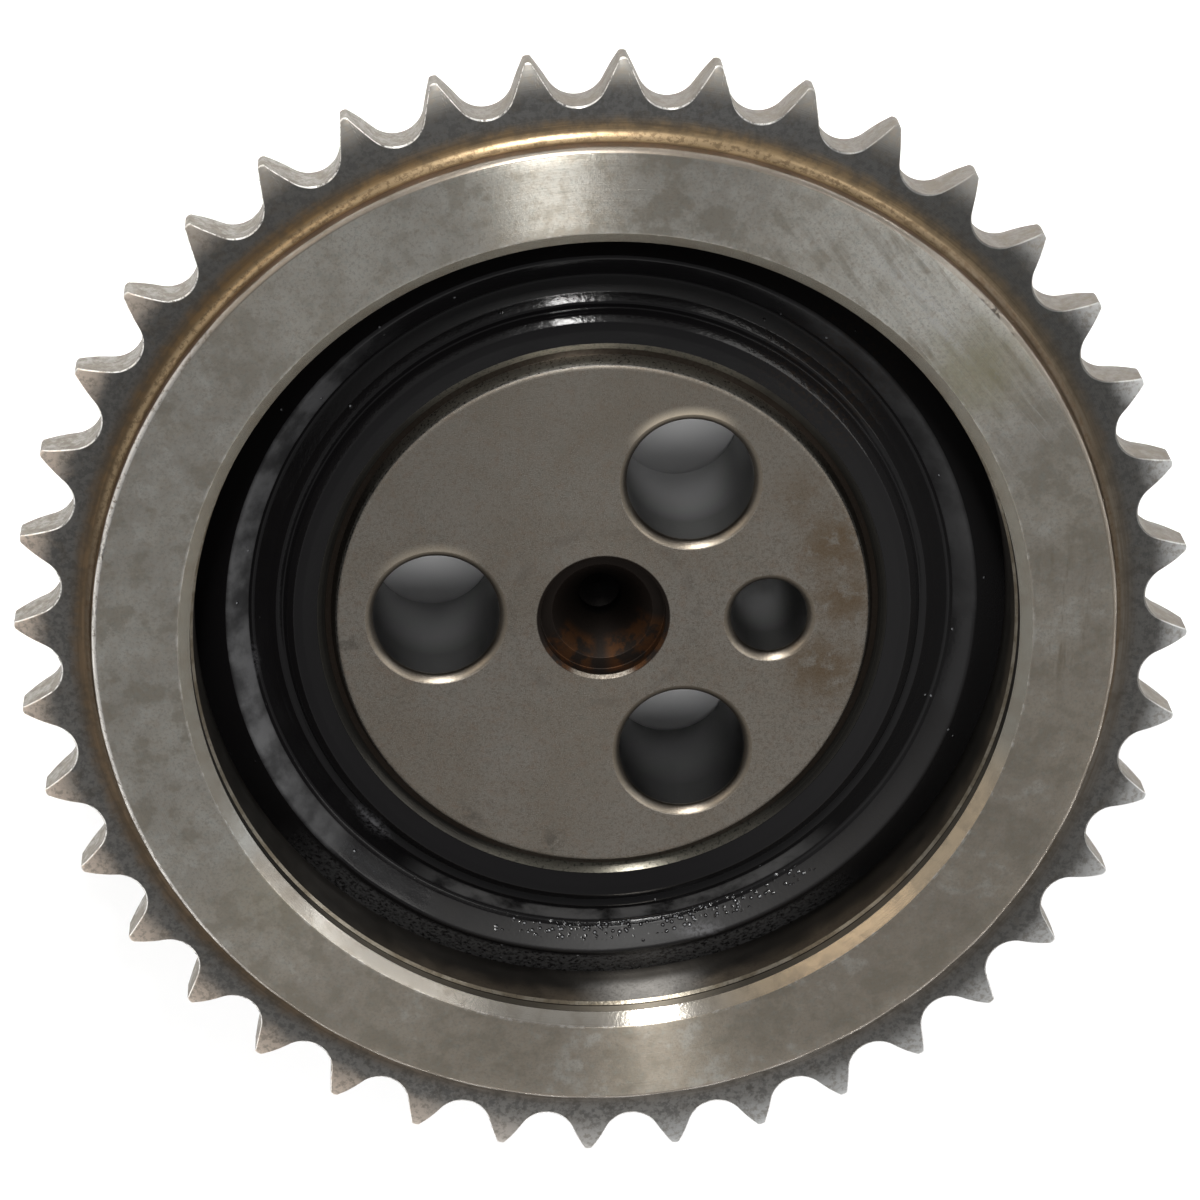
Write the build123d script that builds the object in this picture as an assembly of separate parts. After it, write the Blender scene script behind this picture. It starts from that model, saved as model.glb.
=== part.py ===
from build123d import *
import math
import os

# All lengths are in millimetres, heights run along +Z and radii are measured from the Z axis.
# The origin is the centre of the hub's rear face, and the small hole in the hub points along +X.

# Chain drive
tooth_count = 40
chain_pitch = 9.525
roller_diameter = 6.35
tip_radius = 62.3
tip_rounding = 0.33
flank_radius = 80.0
flank_length = 5.0
seat_half_angle = 60.5
tooth_phase = -0.39

# Toothed rim
rim_front = 29.3
tooth_front = 26.0
tooth_back = 20.7
rim_back = 12.0
rim_face_radius = 54.0
rim_drum_radius = 54.0
rim_lip_radius = 43.8
rim_mouth_chamfer = 1.25
rim_drum_chamfer = 1.0
rim_edge_chamfer = 0.5
rim_step_fillet = 1.4
rim_bore_lead_in = 0.8
rim_tooth_overlap = 2.0
relief_start = 59.0
relief_radius = 6.0

# Steel sleeves that hold the rubber
sleeve_wall = 1.5
outer_sleeve_bore = 43.5
outer_sleeve_front = 26.4
outer_sleeve_back = 12.8
inner_sleeve_front = 20.9
inner_sleeve_back = 12.0
inner_sleeve_bevel = 0.9

# Rubber ring, from its outer edge inwards across the front, then the hollow back
rubber_outer_edge_height = 18.7
ledge_crest_radius = 39.9
ledge_crest_height = 21.2
ledge_crest_rounding = 0.4
ledge_edge_radius = 37.75
ledge_edge_height = 19.25
ledge_edge_rounding = 0.2
trench_radius = 37.35
trench_height = 18.7
trench_rounding = 0.35
bead_foot_radius = 35.45
bead_foot_height = 19.55
bead_top_radius = 34.8
bead_top_height = 20.3
bead_rounding = 0.15
groove_radius = 34.05
groove_height = 19.9
ridge_outer_radius = 33.6
ridge_outer_height = 20.85
ridge_top_radius = 33.0
ridge_top_height = 21.45
ridge_inner_radius = 32.0
ridge_inner_height = 21.35
ridge_rounding = 0.3
rubber_inner_edge_height = 20.9
rubber_back_inner_height = 13.5
rubber_back_outer_height = 14.5
rubber_back_hollow_radius = 37.0
rubber_back_hollow_height = 15.8
rubber_back_hollow_rounding = 6.0

# Hub
hub_front = 22.0
hub_seat_radius = 29.0
hub_flange_radius = 30.5
hub_flange_back = 9.0
hub_boss_radius = 27.5
hub_edge_chamfer = 0.5
hub_lead_width = 0.65
hub_lead_height = 2.0
hub_boss_fillet = 0.5

# Holes in the hub
hole_circle_radius = 17.8
bolt_hole_count = 3
bolt_hole_first_angle = 60
bolt_hole_radius = 6.75
bolt_hole_chamfer = 0.8
dowel_hole_radius = 4.1
dowel_hole_chamfer = 0.8

# Blind centre hole
mouth_radius = 6.7
mouth_chamfer = 0.35
mouth_depth = 2.0
cone_mouth_radius = 5.4
cone_half_angle = 30
pilot_radius = 2.25
pilot_depth = 9.0
drill_half_angle = 59

# How far a cutter runs past the face it cuts
cutter_overrun = 1.0

pitch_radius = chain_pitch / 2 / math.sin(math.pi / tooth_count)
seat_radius = 0.505 * roller_diameter
outer_sleeve_radius = outer_sleeve_bore + sleeve_wall
inner_sleeve_radius = hub_seat_radius + sleeve_wall


def turned(corners):
    """A solid turned about Z from corners given as radius, height and rounding."""
    points = [(radius, height) for radius, height, rounding in corners]
    roundings = [rounding for radius, height, rounding in corners]
    outline = FilletPolyline(*points, radius=roundings, close=True)
    return revolve(Plane.XZ * make_face(outline), Axis.Z)


def flank(side):
    """The convex flank on one side of a gap, from the roller seat to past the tips."""
    angle = math.radians(seat_half_angle)
    reach = seat_radius + flank_radius
    centre_x = pitch_radius - reach * math.cos(angle)
    centre_y = reach * math.sin(angle)
    sweep = flank_length / flank_radius
    points = []
    for turn in (0, sweep / 2, sweep):
        x = centre_x + flank_radius * math.cos(turn - angle)
        y = centre_y + flank_radius * math.sin(turn - angle)
        points.append((x, side * y))
    return ThreePointArc(*points)


def tooth_gap():
    """The outline of one gap between two teeth, centred on +X."""
    upper = flank(1)
    lower = flank(-1)
    floor = (pitch_radius - seat_radius, 0)
    seat = ThreePointArc(upper @ 0, floor, lower @ 0)
    mouth = Line(upper @ 1, lower @ 1)
    return make_face(upper + seat + lower + mouth)


def gap_angles():
    """The directions of all the gaps, in degrees."""
    step = 360 / tooth_count
    return [tooth_phase + (number + 0.5) * step for number in range(tooth_count)]


def tooth_plan():
    """The toothed disc seen along Z, with its tips rounded."""
    gap = tooth_gap()
    disc = Circle(tip_radius) - [Rot(0, 0, angle) * gap for angle in gap_angles()]
    tips = [corner for corner in disc.vertices() if Vector(*corner).length > tip_radius - 0.01]
    return fillet(tips, tip_rounding)


def relieved_blank():
    """The turned tooth blank, whose sides curve in towards the tips."""
    outer = tip_radius + cutter_overrun
    half = (outer - relief_start) / 2
    drop = relief_radius - math.sqrt(relief_radius**2 - (outer - relief_start) ** 2)
    half_drop = relief_radius - math.sqrt(relief_radius**2 - half**2)
    middle = relief_start + half
    inner = rim_face_radius - rim_tooth_overlap
    low_start = (relief_start, tooth_back)
    low_end = (outer, tooth_back + drop)
    high_start = (relief_start, tooth_front)
    high_end = (outer, tooth_front - drop)
    low = ThreePointArc(low_start, (middle, tooth_back + half_drop), low_end)
    high = ThreePointArc(high_start, (middle, tooth_front - half_drop), high_end)
    inside = Polyline(low_start, (inner, tooth_back), (inner, tooth_front), high_start)
    outside = Line(low_end, high_end)
    return revolve(Plane.XZ * make_face(low + high + inside + outside), Axis.Z)


def toothed_rim():
    """The steel rim: teeth, raised front face, lipped bore and rear drum in one piece."""
    plan = Pos(0, 0, tooth_back) * tooth_plan()
    teeth = extrude(plan, tooth_front - tooth_back) & relieved_blank()
    mouth = rim_lip_radius + rim_mouth_chamfer
    ring = turned(
        [
            (mouth, rim_front, 0),
            (rim_face_radius - rim_edge_chamfer, rim_front, 0),
            (rim_face_radius, rim_front - rim_edge_chamfer, 0),
            (rim_face_radius, tooth_front, rim_step_fillet),
            (rim_face_radius + rim_tooth_overlap, tooth_front, 0),
            (rim_face_radius + rim_tooth_overlap, tooth_back, 0),
            (rim_drum_radius, tooth_back, 0),
            (rim_drum_radius, rim_back + rim_drum_chamfer, 0),
            (rim_drum_radius - rim_drum_chamfer, rim_back, 0),
            (outer_sleeve_radius + rim_bore_lead_in, rim_back, 0),
            (outer_sleeve_radius, rim_back + rim_bore_lead_in, 0),
            (outer_sleeve_radius, outer_sleeve_front, 0),
            (rim_lip_radius, outer_sleeve_front, 0),
            (rim_lip_radius, rim_front - rim_mouth_chamfer, 0),
        ]
    )
    return teeth + ring


def outer_sleeve():
    """The sleeve in the rim's bore, pushed in from behind against the lip, bevelled at its mouth."""
    bevel = rim_lip_radius - outer_sleeve_bore
    return turned(
        [
            (rim_lip_radius, outer_sleeve_front, 0),
            (outer_sleeve_radius, outer_sleeve_front, 0),
            (outer_sleeve_radius, outer_sleeve_back, 0),
            (outer_sleeve_bore, outer_sleeve_back, 0),
            (outer_sleeve_bore, outer_sleeve_front - bevel, 0),
        ]
    )


def rubber_ring():
    """The moulded rubber between the sleeves, with its ledge, trench, bead and inner ridge."""
    return turned(
        [
            (outer_sleeve_bore, rubber_outer_edge_height, 0),
            (ledge_crest_radius, ledge_crest_height, ledge_crest_rounding),
            (ledge_edge_radius, ledge_edge_height, ledge_edge_rounding),
            (trench_radius, trench_height, trench_rounding),
            (bead_foot_radius, bead_foot_height, bead_rounding),
            (bead_top_radius, bead_top_height, bead_rounding),
            (groove_radius, groove_height, bead_rounding),
            (ridge_outer_radius, ridge_outer_height, ridge_rounding),
            (ridge_top_radius, ridge_top_height, ridge_rounding),
            (ridge_inner_radius, ridge_inner_height, ridge_rounding),
            (inner_sleeve_radius, rubber_inner_edge_height, 0),
            (inner_sleeve_radius, rubber_back_inner_height, 0),
            (rubber_back_hollow_radius, rubber_back_hollow_height, rubber_back_hollow_rounding),
            (outer_sleeve_bore, rubber_back_outer_height, 0),
        ]
    )


def inner_sleeve():
    """The sleeve round the hub, bevelled down to where the taper on the hub's edge begins."""
    return turned(
        [
            (hub_seat_radius, inner_sleeve_back, 0),
            (inner_sleeve_radius, inner_sleeve_back, 0),
            (inner_sleeve_radius, inner_sleeve_front, 0),
            (inner_sleeve_radius - inner_sleeve_bevel, inner_sleeve_front - inner_sleeve_bevel, 0),
            (hub_seat_radius, inner_sleeve_front - inner_sleeve_bevel, 0),
        ]
    )


def hub_body():
    """The turned hub: front disc, seat for the sleeve, flange and rear boss."""
    edge = hub_edge_chamfer
    return turned(
        [
            (0, 0, 0),
            (hub_boss_radius - edge, 0, 0),
            (hub_boss_radius, edge, 0),
            (hub_boss_radius, hub_flange_back, hub_boss_fillet),
            (hub_flange_radius - edge, hub_flange_back, 0),
            (hub_flange_radius, hub_flange_back + edge, 0),
            (hub_flange_radius, inner_sleeve_back, 0),
            (hub_seat_radius, inner_sleeve_back, 0),
            (hub_seat_radius, hub_front - hub_lead_height, 0),
            (hub_seat_radius - hub_lead_width, hub_front, 0),
            (0, hub_front, 0),
        ]
    )


def through_hole(radius, chamfer):
    """A cutter for a through hole with the same chamfer at both ends, on the hole circle."""
    over = cutter_overrun
    return turned(
        [
            (0, -over, 0),
            (radius + chamfer + over, -over, 0),
            (radius, chamfer, 0),
            (radius, hub_front - chamfer, 0),
            (radius + chamfer + over, hub_front + over, 0),
            (0, hub_front + over, 0),
        ]
    )


def centre_hole():
    """A cutter for the blind centre hole: counterbore, centring cone and pilot drilling."""
    over = cutter_overrun
    ledge = hub_front - mouth_depth
    cone_depth = (cone_mouth_radius - pilot_radius) / math.tan(math.radians(cone_half_angle))
    point_depth = pilot_radius / math.tan(math.radians(drill_half_angle))
    pilot_floor = hub_front - pilot_depth
    return turned(
        [
            (0, pilot_floor - point_depth, 0),
            (pilot_radius, pilot_floor, 0),
            (pilot_radius, ledge - cone_depth, 0),
            (cone_mouth_radius, ledge, 0),
            (mouth_radius, ledge, 0),
            (mouth_radius, hub_front - mouth_chamfer, 0),
            (mouth_radius + mouth_chamfer + over, hub_front + over, 0),
            (0, hub_front + over, 0),
        ]
    )


def hub():
    """The steel hub with three large holes, one locating hole and the blind centre hole."""
    body = hub_body() - centre_hole()
    bolt_hole = Pos(hole_circle_radius, 0, 0) * through_hole(bolt_hole_radius, bolt_hole_chamfer)
    step = 360 / bolt_hole_count
    for number in range(bolt_hole_count):
        body = body - Rot(0, 0, bolt_hole_first_angle + number * step) * bolt_hole
    dowel_hole = Pos(hole_circle_radius, 0, 0) * through_hole(dowel_hole_radius, dowel_hole_chamfer)
    return body - dowel_hole


os.makedirs("parts", exist_ok=True)
export_step(toothed_rim(), "parts/toothed_rim.step")
export_step(outer_sleeve(), "parts/outer_sleeve.step")
export_step(rubber_ring(), "parts/rubber_ring.step")
export_step(inner_sleeve(), "parts/inner_sleeve.step")
export_step(hub(), "parts/hub.step")
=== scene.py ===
import math
from contextlib import contextmanager
import bpy
import bmesh
from mathutils import Matrix, Vector, noise


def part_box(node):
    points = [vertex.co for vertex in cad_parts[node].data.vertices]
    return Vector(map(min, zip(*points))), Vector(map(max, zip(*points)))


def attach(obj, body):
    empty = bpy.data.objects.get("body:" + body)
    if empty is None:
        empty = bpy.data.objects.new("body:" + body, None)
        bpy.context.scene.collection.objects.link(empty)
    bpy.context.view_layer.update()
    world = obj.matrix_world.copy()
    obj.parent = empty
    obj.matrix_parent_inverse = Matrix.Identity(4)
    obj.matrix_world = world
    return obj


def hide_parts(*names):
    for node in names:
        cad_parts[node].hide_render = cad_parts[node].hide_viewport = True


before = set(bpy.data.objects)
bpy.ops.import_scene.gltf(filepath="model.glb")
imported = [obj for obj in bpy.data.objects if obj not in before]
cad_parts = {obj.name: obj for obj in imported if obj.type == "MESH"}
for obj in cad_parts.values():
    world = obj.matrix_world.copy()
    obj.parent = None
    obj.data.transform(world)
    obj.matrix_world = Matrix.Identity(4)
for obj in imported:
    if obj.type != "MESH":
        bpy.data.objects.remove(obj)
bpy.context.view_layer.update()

# Lengths below are in millimetres in the CAD frame and become metres where a mesh or lamp is made.
MM = 0.001

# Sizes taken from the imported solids
rim_low, rim_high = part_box("toothed_rim")
sleeve_low, sleeve_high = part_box("outer_sleeve")
inner_low, inner_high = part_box("inner_sleeve")
TIP_RADIUS = rim_high.x / MM
RIM_FRONT = rim_high.z / MM
RIM_BACK = rim_low.z / MM
OUTER_SLEEVE_RADIUS = sleeve_high.x / MM
OUTER_SLEEVE_FRONT = sleeve_high.z / MM
OUTER_SLEEVE_BACK = sleeve_low.z / MM
INNER_SLEEVE_RADIUS = inner_high.x / MM
INNER_SLEEVE_FRONT = inner_high.z / MM
INNER_SLEEVE_BACK = inner_low.z / MM
HUB_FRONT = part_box("hub")[1].z / MM

# Chain teeth
TOOTH_COUNT = 40
CHAIN_PITCH = 9.525
ROLLER_DIAMETER = 6.35
PITCH_RADIUS = CHAIN_PITCH / 2 / math.sin(math.pi / TOOTH_COUNT)
SEAT_RADIUS = 0.505 * ROLLER_DIAMETER
SEAT_HALF_ANGLE = math.radians(60.5)
ROOT_RADIUS = PITCH_RADIUS - SEAT_RADIUS
FLANK_RADIUS = 80.0
FLANK_LENGTH = 3.2
TOOTH_PHASE = math.radians(-0.39)
TOOTH_FRONT = 26.0
TOOTH_BACK = 20.7
RELIEF_START = 59.0
RELIEF_RADIUS = 6.0
EDGE_BREAK = 0.2

# Where the edge of the raised ring is nicked, as (direction, spread) in degrees, and by how much
BURR_PLACES = ((172, 15), (44, 6))
BURR_REACH = 0.55
BURR_DEPTH = 0.5

# Rim
FACE_RADIUS = 54.0
DRUM_RADIUS = 54.0
LIP_RADIUS = 43.8
MOUTH_CHAMFER = 1.25
MOUTH_RADIUS = LIP_RADIUS + MOUTH_CHAMFER
MOUTH_FLOOR = RIM_FRONT - MOUTH_CHAMFER
EDGE_CHAMFER = 0.5
EDGE_RADIUS = FACE_RADIUS - EDGE_CHAMFER
STEP_FILLET = 1.4

# Sleeves
SLEEVE_BORE = 43.5
SLEEVE_BEVEL = LIP_RADIUS - SLEEVE_BORE
INNER_BEVEL = 0.9

# Rubber, with the corners across its front from the outside in: radius, height and rounding
RUBBER_FRONT = {
    "ledge_crest": (39.9, 21.2, 0.45),
    "ledge_edge": (37.75, 19.25, 0.25),
    "trench": (37.35, 18.7, 0.4),
    "bead_foot": (35.65, 19.6, 0.2),
    "bead_top": (34.75, 20.2, 0.3),
    "groove": (34.05, 19.9, 0.2),
    "ridge_outer": (33.7, 20.85, 0.3),
    "ridge_top": (32.9, 21.42, 0.5),
    "ridge_inner": (32.0, 21.35, 1.2),
}
RUBBER_OUTER_HEIGHT = 18.7
RUBBER_INNER_HEIGHT = 20.9
RUBBER_HOLLOW = (37.0, 15.8)
HOLLOW_INNER_HEIGHT = 13.5
HOLLOW_OUTER_HEIGHT = 14.5
RUBBER_UNEVENNESS = 0.05

# Hub
HUB_SEAT_RADIUS = 29.0
HUB_FLANGE_RADIUS = 30.5
HUB_FLANGE_BACK = 9.0
HUB_BOSS_RADIUS = 27.5
HUB_EDGE = 0.5
HUB_LEAD_WIDTH = 0.65
HUB_LEAD_HEIGHT = 2.0
HUB_TAPER_RADIUS = HUB_SEAT_RADIUS - HUB_LEAD_WIDTH
HOLE_CIRCLE = 17.8
BOLT_RADIUS = 6.75
DOWEL_RADIUS = 4.1
HOLE_CHAMFER = 0.8
BOLT_ANGLES = (60, 180, 300)
DOWEL_ANGLE = 0
CENTRE_RADIUS = 6.7
CENTRE_CHAMFER = 0.35
CENTRE_DEPTH = 2.0
CONE_RADIUS = 5.4
CONE_HALF_ANGLE = math.radians(30)
PILOT_RADIUS = 2.25
PILOT_DEPTH = 9.0
PILOT_POINT = 1.35

# How much painted light each hole's wall has on its near side, by the hole's direction
HOLE_PAINTED_LIGHT = {60: 0.36, 180: 0.17, 300: 0.09, 0: 0.40}

# A turned outline stops just short of the axis, and what divides is kept off zero
ON_AXIS = 0.001
NEAR_ZERO = 0.01

# The Mix node's two inputs and its output, for each kind of value
MIX_SOCKETS = {"FLOAT": (2, 3, 0), "RGBA": (6, 7, 2)}

# Lamps: azimuth and elevation in degrees, distance and size in metres, power in watts, colour
LAMPS = {
    "key": (97, 34, 0.9, (0.05, 0.47), 5.6, (1.0, 0.99, 0.97)),
    "left_low": (140, 19, 1.1, (0.5, 0.25), 0.55, (1.0, 0.85, 0.68)),
    "right_low": (30, 13, 1.1, (0.12, 0.2), 0.36, (0.92, 0.96, 1.0)),
    "right_high": (33, 40, 1.1, (0.8, 0.3), 1.6, (1.0, 0.98, 0.95)),
    "side": (8, 14, 1.2, (0.12, 0.3), 0.15, (0.75, 0.88, 1.0)),
    "overhead": (-90, 70, 1.0, (0.6, 0.6), 9.0, (1.0, 1.0, 1.0)),
}
LAMP_TARGET = Vector((0, 0, 0.02))

# The sky's colour from the horizon, at 0, to overhead, at 1
SKY_STOPS = (
    (0.0, (0.72, 0.72, 0.72)),
    (0.3, (0.62, 0.62, 0.62)),
    (0.7, (0.33, 0.33, 0.33)),
    (1.0, (0.21, 0.21, 0.215)),
)

# The photograph's camera
CAMERA_PLACE = (-31.05, 182.95, 474.56)
CAMERA_TARGET = (-0.914, 4.995, 29.3)
CAMERA_LENS = 137.7
SENSOR_WIDTH = 36.0


def link(scene_object):
    """Puts a new object in the scene."""
    bpy.context.scene.collection.objects.link(scene_object)
    return scene_object


def mesh_of(name, vertices, faces):
    """A mesh from points in millimetres."""
    mesh = bpy.data.meshes.new(name)
    mesh.from_pydata([tuple(value * MM for value in vertex) for vertex in vertices], [], faces)
    return mesh


@contextmanager
def edited(mesh):
    """The mesh opened for editing, and written back at the end."""
    shape = bmesh.new()
    shape.from_mesh(mesh)
    yield shape
    shape.to_mesh(mesh)
    shape.free()


def mesh_piece(name, vertices, faces, material, sharp_degrees=32):
    """A mesh piece from points in millimetres, smooth except across sharp angles."""
    mesh = mesh_of(name, vertices, faces)
    mesh.validate()
    piece = link(bpy.data.objects.new(name, mesh))
    limit = math.radians(sharp_degrees)
    with edited(mesh) as shape:
        bmesh.ops.recalc_face_normals(shape, faces=shape.faces)
        for face in shape.faces:
            face.smooth = True
        for edge in shape.edges:
            edge.smooth = not (len(edge.link_faces) == 2 and edge.calc_face_angle(0) > limit)
    mesh.materials.append(material)
    return piece


def rounded(corners, steps=4, longest_share=0.45):
    """A closed outline of (radius, height) points from corners of (radius, height, rounding)."""
    points = []
    count = len(corners)
    for index in range(count):
        before = Vector(corners[index - 1][:2])
        here = Vector(corners[index][:2])
        after = Vector(corners[(index + 1) % count][:2])
        radius = corners[index][2]
        if radius == 0:
            points.append(tuple(here))
            continue
        to_before = (before - here).normalized()
        to_after = (after - here).normalized()
        half = to_before.angle(to_after) / 2
        shorter_run = min((before - here).length, (after - here).length)
        reach = min(radius / math.tan(half), longest_share * shorter_run)
        start = here + to_before * reach
        end = here + to_after * reach
        for step in range(steps + 1):
            t = step / steps
            points.append(tuple(start * (1 - t) ** 2 + here * 2 * t * (1 - t) + end * t * t))
    return points


def divided(points, longest):
    """The closed outline with its long runs divided, so that they can take fine unevenness."""
    result = []
    for index, point in enumerate(points):
        here = Vector(point)
        run = Vector(points[(index + 1) % len(points)]) - here
        pieces = max(1, math.ceil(run.length / longest))
        result.extend(tuple(here + run * (part / pieces)) for part in range(pieces))
    return result


def wrapped_faces(columns, rows):
    """Faces between neighbouring columns of a closed outline, all the way round."""
    faces = []
    for column in range(columns):
        here = column * rows
        following = (column + 1) % columns * rows
        for row in range(rows):
            after = (row + 1) % rows
            faces.append((here + row, following + row, following + after, here + after))
    return faces


def swept(outline, columns, place):
    """Vertices and faces of a closed outline swept round Z. place(point, angle) gives each vertex."""
    vertices = [place(point, angle) for angle in columns for point in outline]
    return vertices, wrapped_faces(len(columns), len(outline))


def even_angles(count):
    """Evenly spaced directions round the axis."""
    return [2 * math.pi * number / count for number in range(count)]


def polar(radius, angle, height):
    """A point from its radius, direction and height."""
    return (radius * math.cos(angle), radius * math.sin(angle), height)


def turned_piece(name, node, slot, corners, material, columns=480, longest=9.0, wobble=None):
    """A turned piece that stands for a CAD node. wobble(point, angle) moves a point of the outline."""
    outline = divided(rounded(corners), longest)

    def place(point, angle):
        radius, height = wobble(point, angle) if wobble else point
        return polar(radius, angle, height)

    vertices, faces = swept(outline, even_angles(columns), place)
    piece = mesh_piece(name, vertices, faces, material)
    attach(piece, "root")
    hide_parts(node)


class Graph:
    """One material, with short calls that add a node and return its output."""

    def __init__(self, name):
        self.material = bpy.data.materials.new(name)
        self.material.use_nodes = True
        tree = self.material.node_tree
        tree.nodes.clear()
        self.nodes = tree.nodes
        self.links = tree.links
        self.shader = self.new("BsdfPrincipled")
        output = self.new("OutputMaterial")
        self.links.new(self.shader.outputs[0], output.inputs[0])
        axes = self.new("SeparateXYZ")
        self.links.new(self.new("TexCoord").outputs["Object"], axes.inputs[0])
        self.x, self.y, self.z = (self.times(axis, 1 / MM) for axis in axes.outputs)
        self.place = self.vector(self.x, self.y, self.z)
        self.radius = self.length(self.x, self.y)
        off_axis = self.math("MAXIMUM", self.radius, NEAR_ZERO)
        self.cosine = self.math("DIVIDE", self.x, off_axis)
        self.sine = self.math("DIVIDE", self.y, off_axis)
        self.ragged = self.noise(0.35, detail=4.0, roughness=0.68)

    def new(self, kind):
        """A new node of a kind."""
        return self.nodes.new("ShaderNode" + kind)

    def feed(self, socket, value):
        """Links a node's output to a socket, or sets the socket's own value."""
        if isinstance(value, bpy.types.NodeSocket):
            self.links.new(value, socket)
        elif isinstance(value, tuple) and len(value) == 3 and socket.type == "RGBA":
            socket.default_value = (*value, 1)
        else:
            socket.default_value = value

    def set(self, **values):
        """Feeds the shader's sockets, named with underscores for spaces."""
        for name, value in values.items():
            self.feed(self.shader.inputs[name.replace("_", " ")], value)

    def math(self, operation, first, second=0.0, third=0.0):
        """One step of arithmetic."""
        node = self.new("Math")
        node.operation = operation
        for socket, value in zip(node.inputs, (first, second, third)):
            self.feed(socket, value)
        return node.outputs[0]

    def in_turn(self, operation, values):
        """One operation carried through a row of values."""
        result = values[0]
        for value in values[1:]:
            result = self.math(operation, result, value)
        return result

    def times(self, *values):
        """The product of the values."""
        return self.in_turn("MULTIPLY", values)

    def most(self, *values):
        """The highest of the values."""
        return self.in_turn("MAXIMUM", values)

    def inverse(self, factor):
        """What a factor leaves up to 1."""
        return self.math("SUBTRACT", 1.0, factor)

    def dot(self, a, b, c, d):
        """The sum of two products, a * b + c * d."""
        return self.math("MULTIPLY_ADD", a, b, self.times(c, d))

    def length(self, x, y):
        """The length of a run of x and y."""
        return self.math("SQRT", self.dot(x, x, y, y))

    def along(self, x, y, degrees):
        """How far a run of x and y goes in a direction on the face."""
        turn = math.radians(degrees)
        return self.dot(x, math.cos(turn), y, math.sin(turn))

    def offset(self, x, y):
        """The run of x and y from a place on the face."""
        return self.math("SUBTRACT", self.x, x), self.math("SUBTRACT", self.y, y)

    def wavering(self, value, waves, reach):
        """A value moved to and fro by noise."""
        return self.math("MULTIPLY_ADD", self.math("SUBTRACT", waves, 0.5), reach, value)

    def vector(self, x, y, z):
        """Three numbers joined."""
        node = self.new("CombineXYZ")
        for socket, value in zip(node.inputs, (x, y, z)):
            self.feed(socket, value)
        return node.outputs[0]

    def noise(self, scale, where=None, detail=3.0, roughness=0.5):
        """Noise from 0 to 1, by default in millimetres of the object's frame."""
        node = self.new("TexNoise")
        self.feed(node.inputs["Vector"], where or self.place)
        for name, value in (("Scale", scale), ("Detail", detail), ("Roughness", roughness)):
            node.inputs[name].default_value = value
        return node.outputs["Fac"]

    def ramp(self, value, low, high, smooth=True):
        """0 below low and 1 above high, or falling where low is above high."""
        node = self.new("MapRange")
        node.interpolation_type = "SMOOTHSTEP" if smooth else "LINEAR"
        self.feed(node.inputs["Value"], value)
        ends = (low, high, 0.0, 1.0) if low < high else (high, low, 1.0, 0.0)
        for name, end in zip(("From Min", "From Max", "To Min", "To Max"), ends):
            node.inputs[name].default_value = end
        return node.outputs["Result"]

    def band(self, value, low, high, soft):
        """1 between low and high, fading over soft on both sides."""
        return self.times(self.ramp(value, low - soft, low), self.ramp(value, high + soft, high))

    def spot(self, x, y, size, uneven, width=None, degrees=0.0):
        """1 at a place on the face and 0 a given size away, with a ragged edge. A width makes it a streak."""
        dx, dy = self.offset(x, y)
        along = self.times(self.along(dx, dy, degrees), 1 / size)
        aside = self.times(self.along(dx, dy, degrees + 90), 1 / (width or size))
        return self.ramp(self.wavering(self.length(along, aside), self.ragged, uneven), 1.0, 0.0)

    def facing(self, degrees, spread, soft):
        """1 where the direction from the axis is within a spread of a given one, fading over soft degrees."""
        toward = self.along(self.cosine, self.sine, degrees)
        return self.ramp(toward, math.cos(math.radians(spread + soft)), math.cos(math.radians(spread)))

    def from_hole(self, degrees, toward):
        """Distance from a hole's middle, and how far the direction from it agrees with a given one."""
        x, y, _ = polar(HOLE_CIRCLE, math.radians(degrees), 0.0)
        dx, dy = self.offset(x, y)
        distance = self.length(dx, dy)
        agreement = self.math("DIVIDE", self.along(dx, dy, toward), self.math("MAXIMUM", distance, NEAR_ZERO))
        return distance, agreement

    def brushed(self, degrees, fine=0.8, coarse=0.08):
        """Noise drawn out along a direction on the face."""
        along = self.along(self.x, self.y, degrees)
        aside = self.along(self.x, self.y, degrees + 90)
        where = self.vector(self.times(along, coarse), self.times(aside, fine), 0.0)
        return self.noise(1.0, where, detail=4.0, roughness=0.6)

    def turning(self, pitch, wander=0.35):
        """Lathe marks: noise that changes quickly with the radius and slowly round the ring."""
        across = self.math("DIVIDE", self.math("ADD", self.radius, self.z), pitch)
        where = self.vector(across, self.times(self.cosine, wander), self.times(self.sine, wander))
        return self.noise(1.0, where, detail=2.0, roughness=0.6)

    def droplets(self, cell, share, size):
        """Small domes, at most one in each cell of a given size in millimetres, in a share of the cells."""
        node = self.new("TexVoronoi")
        node.inputs["Scale"].default_value = 1 / cell
        self.feed(node.inputs["Vector"], self.place)
        pick = self.new("SeparateColor")
        self.links.new(node.outputs["Color"], pick.inputs[0])
        chosen = self.math("LESS_THAN", pick.outputs[0], share)
        return self.times(self.ramp(node.outputs["Distance"], size, 0.0), chosen)

    def mix(self, factor, first, second):
        """A colour or number between first and second."""
        node = self.new("Mix")
        is_colour = isinstance(first, tuple) or getattr(first, "type", "") == "RGBA"
        node.data_type = "RGBA" if is_colour else "FLOAT"
        first_input, second_input, output = MIX_SOCKETS[node.data_type]
        self.feed(node.inputs[0], factor)
        self.feed(node.inputs[first_input], first)
        self.feed(node.inputs[second_input], second)
        return node.outputs[output]

    def layered(self, base, *layers):
        """A colour or number with layers laid over it in turn, each with the factors of its share."""
        for layer, *factors in layers:
            base = self.mix(self.times(*factors), base, layer)
        return base

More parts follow.
